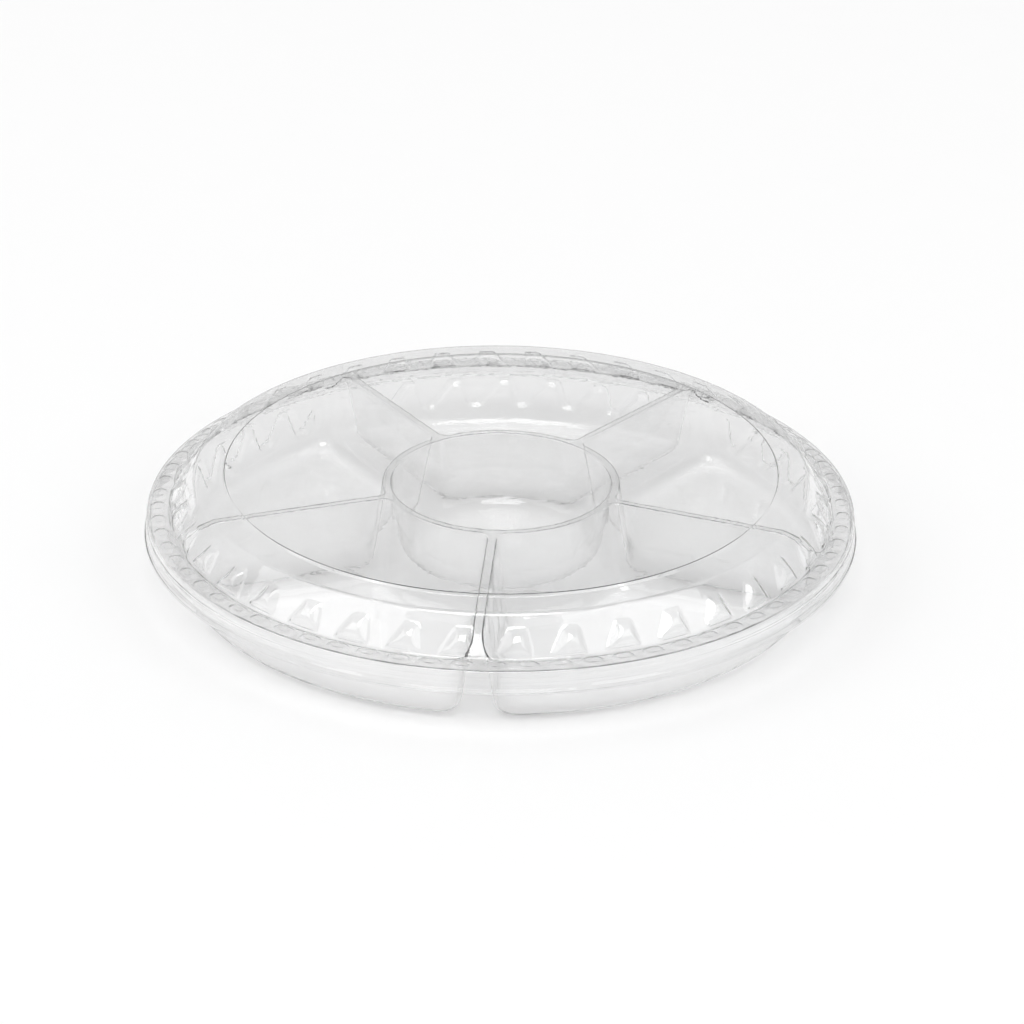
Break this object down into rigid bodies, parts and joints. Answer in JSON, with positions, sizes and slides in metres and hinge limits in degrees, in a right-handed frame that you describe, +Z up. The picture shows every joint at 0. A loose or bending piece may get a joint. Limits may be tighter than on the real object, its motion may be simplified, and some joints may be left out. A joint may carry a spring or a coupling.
{
  "type": "chip and dip server",
  "caption": "Round clear chip and dip server: a formed tray with wells set round a raised dip cup, under a shallow lift-off dome lid with a ribbed wall and lugged flange.",
  "frame": {"origin": "centre of the plane that the wells stand on", "axes": "+Z up out of the tray, with one divider towards -Y"},
  "size_m": [0.3064, 0.3064, 0.0461],
  "materials": {
    "tray_clear": "clear thermoformed polyester sheet, glossy, colourless",
    "lid_clear": "clear thermoformed polyester sheet, glossy, colourless"
  },
  "bodies": {
    "tray": {"tray": "tray_clear"},
    "lid": {"lid": "lid_clear"}
  },
  "joints": [
    {"name": "lid_lift", "type": "slide", "parent": "tray", "child": "lid", "axis": [0, 0, 1], "range_m": [0, 0.12]}
  ]
}
